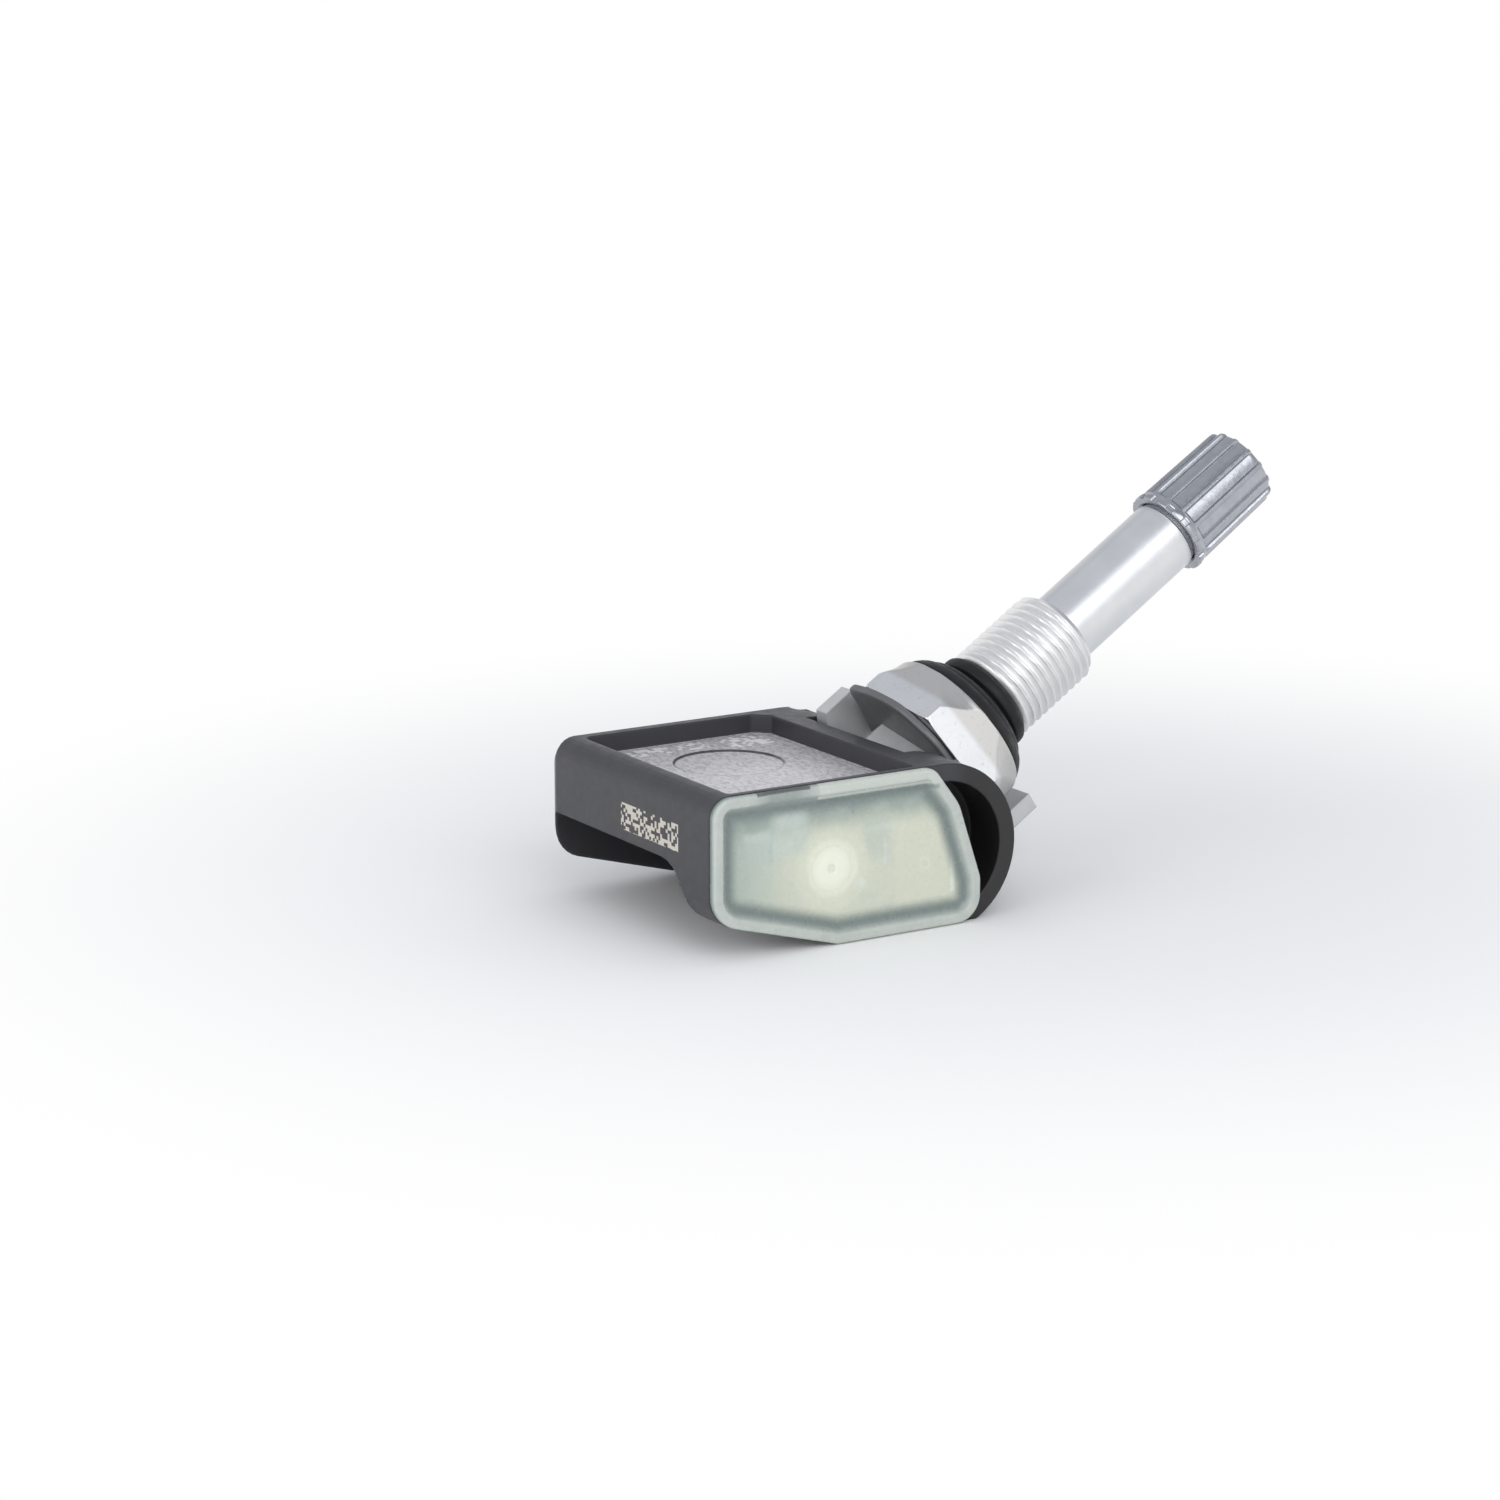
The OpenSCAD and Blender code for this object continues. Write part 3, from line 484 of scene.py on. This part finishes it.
def valve():
    rings = []

    def add(t, r):
        rings.append(turned_ring(t, r, N))

    add(HEX_T, 2.02)
    add(HEX_T, HEX_R - 3.2)
    for k in range(5):
        a = math.radians(90 * k / 4)
        add(HEX_T + 0.4 - 0.4 * math.cos(a), hexagon(HEX_R - 0.55 + 0.55 * math.sin(a)))
    for t in np.linspace(HEX_T + 0.6, HEX_T + 2.0, 5):
        add(t, hexagon(HEX_R))
    bell_t = [11.7, 12.3, 12.9, 13.4, 13.9, 14.4, 14.9, 15.0]
    bell_r = [9.8, 9.55, 9.27, 9.04, 8.88, 8.77, 8.7, 8.66]
    for t in np.linspace(bell_t[0], bell_t[-1], 34):
        add(t, hexagon(np.interp(t, bell_t, bell_r)))
    add(HEX_END - 0.03, hexagon(8.58))
    add(HEX_END, hexagon(8.4))
    add(HEX_END, 4.6)
    add(THREAD_T, 4.6)
    add(THREAD_T, THREAD_R - 0.55)
    for t in np.arange(THREAD_T + 0.1, THREAD_END - 0.02, 0.085):
        r = helix(t, THREAD_R, PITCH, 0.56, THREAD_T + 0.5, THREAD_END + 0.3)
        add(t, np.minimum(r, min(THREAD_R, THREAD_R - 0.5 + (t - THREAD_T), THREAD_R - 0.9 + (THREAD_END - t))))
    add(THREAD_END, THREAD_R - 0.92)
    add(THREAD_END, STEM_R + 0.12)
    add(THREAD_END + 0.08, STEM_R)
    for t in np.linspace(THREAD_END + 1, CAP_T - 0.35, 6):
        add(t, STEM_R)
    add(CAP_T - 0.15, STEM_R - 0.2)
    add(TIP_T, STEM_R - 0.2)
    for t in np.arange(TIP_T + 0.1, TIP_END - 0.02, 0.13):
        r = helix(t, TIP_R, 0.794, 0.42, TIP_T + 0.3, TIP_END + 0.3)
        add(t, np.minimum(r, min(TIP_R, TIP_R - 0.5 + (TIP_END - t))))
    add(TIP_END, TIP_R - 0.5)
    add(TIP_END, 2.45)
    add(TIP_END - 0.2, 2.3)
    add(TIP_END - 8.4, 2.3)
    add(TIP_END - 8.4, 1.2)
    add(HEX_END - 0.4, 1.2)
    add(HEX_END - 0.4, 2.02)
    piece("valve_body", rings, VALVE, "stem_metal", "valve", "valve_stem")


valve()


def grommet():
    """Rubber sleeve with a flange, a groove and a bead."""
    outline = [(15.1, 4.62), (15.1, 8.2), (15.13, 8.3), (15.25, 8.36), (15.5, 8.3), (15.9, 8.1), (16.3, 7.82),
               (16.55, 7.6), (16.62, 7.3), (16.7, 7.2), (16.85, 7.16), (17.3, 6.75), (17.55, 6.3), (17.65, 6.0),
               (17.7, 5.6), (17.8, 5.3), (17.95, 5.22), (18.1, 5.3), (18.2, 5.55), (18.35, 5.68), (18.9, 5.7),
               (19.3, 5.64), (19.55, 5.45), (19.65, 5.2), (19.68, 4.95), (19.68, 4.62)]
    piece("rim_sleeve", [turned_ring(t, r, 180) for t, r in outline], VALVE, "grommet_rubber", "valve", "rim_grommet",
          sharp=50)


grommet()


def flange():
    """Flange of the saddle under the hexagon, coloured dark as painted shade."""
    outline = [(-9.5, 1.0), (-9.3, 5.0), (-8.8, 5.4), (-4.2, 5.5), (0, 7.6), (6, 7.4), (8.6, 3), (8.6, -3), (6, -7.4),
               (0, -8.2), (-5, -7.0), (-8.6, -3.4)]
    p = np.array(outline + outline[:1], float)
    p = np.concatenate([p[i] + (p[i + 1] - p[i]) * np.arange(8)[:, None] / 8 for i in range(len(outline))])
    for _ in range(6):
        p = (np.roll(p, 1, 0) + 2 * p + np.roll(p, -1, 0)) / 4
    edge = ((8.72, 0.9), (8.74, 0.975), (8.84, 0.995), (8.95, 1.0),
            (9.4, 1.0), (9.52, 0.995), (9.58, 0.975), (9.59, 0.9))
    rings = [np.column_stack([p * k, np.full(len(p), t)]) for t, k in edge]
    o = piece("saddle_flange", rings, VALVE, "saddle_zinc", "valve", None, closed=False, sharp=45)
    # Points flagged here take the painted shade colour of the saddle metal.
    shaded_lip = o.data.attributes.new("shaded_lip", "FLOAT", "POINT")
    shaded_lip.data.foreach_set("value", [1.0] * len(o.data.vertices))


flange()


def cap():
    """Fluted cap: broad flats between narrow ribs, a skirt with small teeth and a scalloped end."""
    flutes, per = 14, 24
    n = flutes * per
    v = (np.arange(n) / per) % 1
    rib = np.minimum(v, 1 - v)
    flat = smooth(rib, 0.1, 0.17)
    tooth = smooth(rib, 0.3, 0.33)
    rings = []

    def add(t, r):
        rings.append(turned_ring(t, r, n))

    def outer(t):
        return 4.8 - 0.2 * (t - CAP_T) / 12

    add(CAP_T + 0.25, 3.9)
    add(CAP_T, 4.15)
    add(CAP_T, 4.8 - 0.05 * tooth)
    add(CAP_T + 0.06, 4.88 - 0.16 * tooth)
    add(CAP_T + 0.14, 4.92 - 0.2 * tooth)
    add(CAP_T + 0.62, 4.92 - 0.2 * tooth)
    add(CAP_T + 0.72, 4.9 - 0.1 * tooth)
    add(CAP_T + 0.85, 4.82)
    add(CAP_T + 1.0, outer(CAP_T + 1.0))
    add(CAP_T + 1.15, outer(CAP_T + 1.15))
    add(CAP_T + 1.3, outer(CAP_T + 1.3) - 0.2 * flat)
    add(CAP_T + 1.45, outer(CAP_T + 1.45) - 0.36 * flat)
    for t in np.linspace(CAP_T + 2, CAP_END - 0.7, 8):
        add(t, outer(t) - 0.36 * flat)
    for k in range(1, 7):
        a = math.radians(15 * k)
        groove = 0.36 * flat * (1 - 0.5 * k / 6)
        add(CAP_END - 0.6 + 0.6 * math.sin(a), outer(CAP_END) - 0.6 + 0.6 * math.cos(a) - groove)
    add(CAP_END, 3.2)
    add(CAP_END - 0.12, 3.0)
    add(CAP_END - 0.12, 0.02)
    add(CAP_END - 1.0, 0.02)
    add(CAP_END - 1.0, 3.9)
    piece("cap_shell", rings, VALVE, "cap_plastic", "dust_cap", "dust_cap")


cap()


def seal():
    """Round seal that swells softly out of the resin, with a small air hole."""
    outline = [(-14.75, 0.4), (-14.75, 2.44), (-15.84, 2.44), (-15.865, 2.3), (-15.88, 2.1), (-15.91, 1.8), (-15.94, 1.4),
               (-15.96, 1.0), (-15.96, 0.75), (-15.94, 0.55), (-15.9, 0.43), (-15.75, 0.4)]
    turn = HOUSING @ Matrix.Translation((-13.4 * MM, 0, 0)) @ Matrix.Rotation(math.radians(-90), 4, "X")
    rings = [turned_ring(y, r, 96) for y, r in outline]
    piece("port_seal_ring", rings, turn, "seal_silicone", "housing", "port_seal", sharp=60)


seal()


def face_outline(d, steps=12, between=14):
    """Outline of the sensor face drawn in by d, X and Z from the swivel axis, corners rounded."""
    corners = [(-27.5, 8.9, 2.2), (-1.5, 8.9, 1.8), (1.6, 4.8, 5), (4.3, -3.2, 2.6), (4.3, -7.8, 2.8),
               (-13, -7.8, 2), (-27.5, -3.8, 3.6)]
    p = [np.array(c[:2]) for c in corners]
    n = len(p)

    def unit(v):
        return v / np.linalg.norm(v)

    q, rad = [], []
    for i in range(n):
        e, f = unit(p[i] - p[i - 1]), unit(p[(i + 1) % n] - p[i])
        g, h = np.array([e[1], -e[0]]), np.array([f[1], -f[0]])
        q.append(p[i] + (g + h) * d / (1 + g @ h))
        rad.append(max(corners[i][2] - d, 0.4))
    arcs = []
    for i in range(n):
        a, b = unit(q[i - 1] - q[i]), unit(q[(i + 1) % n] - q[i])
        half = math.acos(a @ b) / 2
        c = q[i] + unit(a + b) * rad[i] / math.sin(half)
        first = q[i] + a * rad[i] / math.tan(half) - c
        turn = 1 if a[0] * b[1] - a[1] * b[0] > 0 else -1
        start = math.atan2(first[1], first[0])
        sweep = math.pi - 2 * half
        arcs.append([c + rad[i] * np.array([math.cos(start - turn * sweep * k / steps),
                                            math.sin(start - turn * sweep * k / steps)]) for k in range(steps + 1)])
    out = []
    for i in range(n):
        out += arcs[i]
        a, b = arcs[i][-1], arcs[(i + 1) % n][0]
        out += [a + (b - a) * k / (between + 1) for k in range(1, between + 1)]
    return np.array(out)


def potting():
    """Resin with a rim, a bevel and a sunk window; a gate mark lowers part of its upper rim."""
    rings, panes = [], []
    profile = [(0.06, -15.7), (0.06, -16.25), (0.09, -16.42), (0.18, -16.54), (0.32, -16.59), (0.5, -16.6),
               (0.8, -16.6), (1.0, -16.58), (1.12, -16.5), (1.2, -16.36), (1.34, -16.18), (1.6, -16.02), (1.95, -15.9),
               (2.25, -15.86), (2.55, -15.85), (2.85, -15.86), (3.2, -15.87), (3.6, -15.87)]
    for d, y in profile:
        o = face_outline(d)
        x, z = o[:, 0], o[:, 1]
        top = smooth(z, 7.0, 7.6)
        gate = top * smooth(x, -22.6, -21.9) * (1 - smooth(x, -16.4, -15.7))
        ys = np.full(len(o), y)
        if y < -16.0:
            ys = y + gate * np.clip(-16.0 - y, 0, 1) * 0.75
        rings.append(np.stack([x, ys, z], 1)[::-1])
        panes.append(d)
    o = piece("potting_lens", rings, HOUSING, "potting_compound", "housing", "potting", closed=False, sharp=40)
    mesh = o.data
    n = len(rings[0])
    pane = mesh.attributes.new("pane", "FLOAT", "POINT")
    pane.data.foreach_set("value", np.repeat([float(smooth(d, 1.9, 3.3)) for d in panes], n))


potting()


# Stage
def area(name, place, aim, size, power):
    data = bpy.data.lights.new(name, "AREA")
    data.shape = "RECTANGLE"
    data.size, data.size_y = size
    data.energy = power
    o = bpy.data.objects.new(name, data)
    o.location = place
    o.rotation_euler = (Vector(aim) - Vector(place)).to_track_quat("-Z", "Y").to_euler()
    bpy.context.collection.objects.link(o)


floor_mesh = bpy.data.meshes.new("floor")
FLOOR_Z = size_before[0][2] - 0.00002
FLOOR_HALF = 4.0
corners = ((-1, -1), (1, -1), (1, 1), (-1, 1))
floor_mesh.from_pydata([(i * FLOOR_HALF, j * FLOOR_HALF, FLOOR_Z) for i, j in corners], [], [(0, 1, 2, 3)])
floor = bpy.data.objects.new("floor", floor_mesh)
bpy.context.collection.objects.link(floor)
f = Shader("floor_white")
f.set(Base_Color=f.mix(f.noise(40, 2), (0.96, 0.96, 0.96), (0.98, 0.98, 0.98)), Roughness=0.9, Specular_IOR_Level=0.1)
glow = f.node("ShaderNodeEmission", Color=(1, 1, 1), Strength=1.0).outputs[0]
far = f.ramp(f.vector("LENGTH", f.coord), 0.035, 0.13)
ray = f.tree.nodes.new("ShaderNodeLightPath").outputs
seen = f.math("MAXIMUM", ray["Is Camera Ray"], f.math("MAXIMUM", ray["Is Glossy Ray"], ray["Is Transmission Ray"]))
blend = f.tree.nodes.new("ShaderNodeMixShader")
f.put(blend.inputs[0], f.math("MULTIPLY", far, seen))
f.tree.links.new(f.bsdf.outputs[0], blend.inputs[1])
f.tree.links.new(glow, blend.inputs[2])
f.tree.links.new(blend.outputs[0], f.tree.nodes["Material Output"].inputs["Surface"])
floor_mesh.materials.append(f.mat)

world = bpy.data.worlds.new("studio")
bpy.context.scene.world = world
world.use_nodes = True
wt = world.node_tree
bg = wt.nodes["Background"]
path = wt.nodes.new("ShaderNodeLightPath")
shade = wt.nodes.new("ShaderNodeMix")
shade.data_type = "RGBA"
wt.links.new(path.outputs["Is Camera Ray"], shade.inputs[0])
direction = wt.nodes.new("ShaderNodeTexCoord")
split = wt.nodes.new("ShaderNodeSeparateXYZ")
wt.links.new(direction.outputs["Generated"], split.inputs[0])
height = wt.nodes.new("ShaderNodeMapRange")
wt.links.new(split.outputs["Z"], height.inputs[0])
height.inputs[1].default_value, height.inputs[2].default_value = 0.0, 0.9
sky = wt.nodes.new("ShaderNodeMix")
sky.data_type = "RGBA"
wt.links.new(height.outputs[0], sky.inputs[0])
sky.inputs[6].default_value = (0.98, 0.98, 0.99, 1)
sky.inputs[7].default_value = (0.40, 0.42, 0.46, 1)
wt.links.new(sky.outputs[2], shade.inputs[6])
shade.inputs[7].default_value = (1, 1, 1, 1)
wt.links.new(shade.outputs[2], bg.inputs["Color"])
bg.inputs["Strength"].default_value = 1.0

area("key", (-0.1, -0.5, 0.3), (0, 0, 0), (0.5, 0.4), 1.1)
area("top", (0.0, 0.1, 0.7), (0, 0, 0), (0.9, 0.9), 0.6)
area("left", (-0.55, -0.1, 0.15), (0, 0, 0), (0.4, 0.4), 0.9)
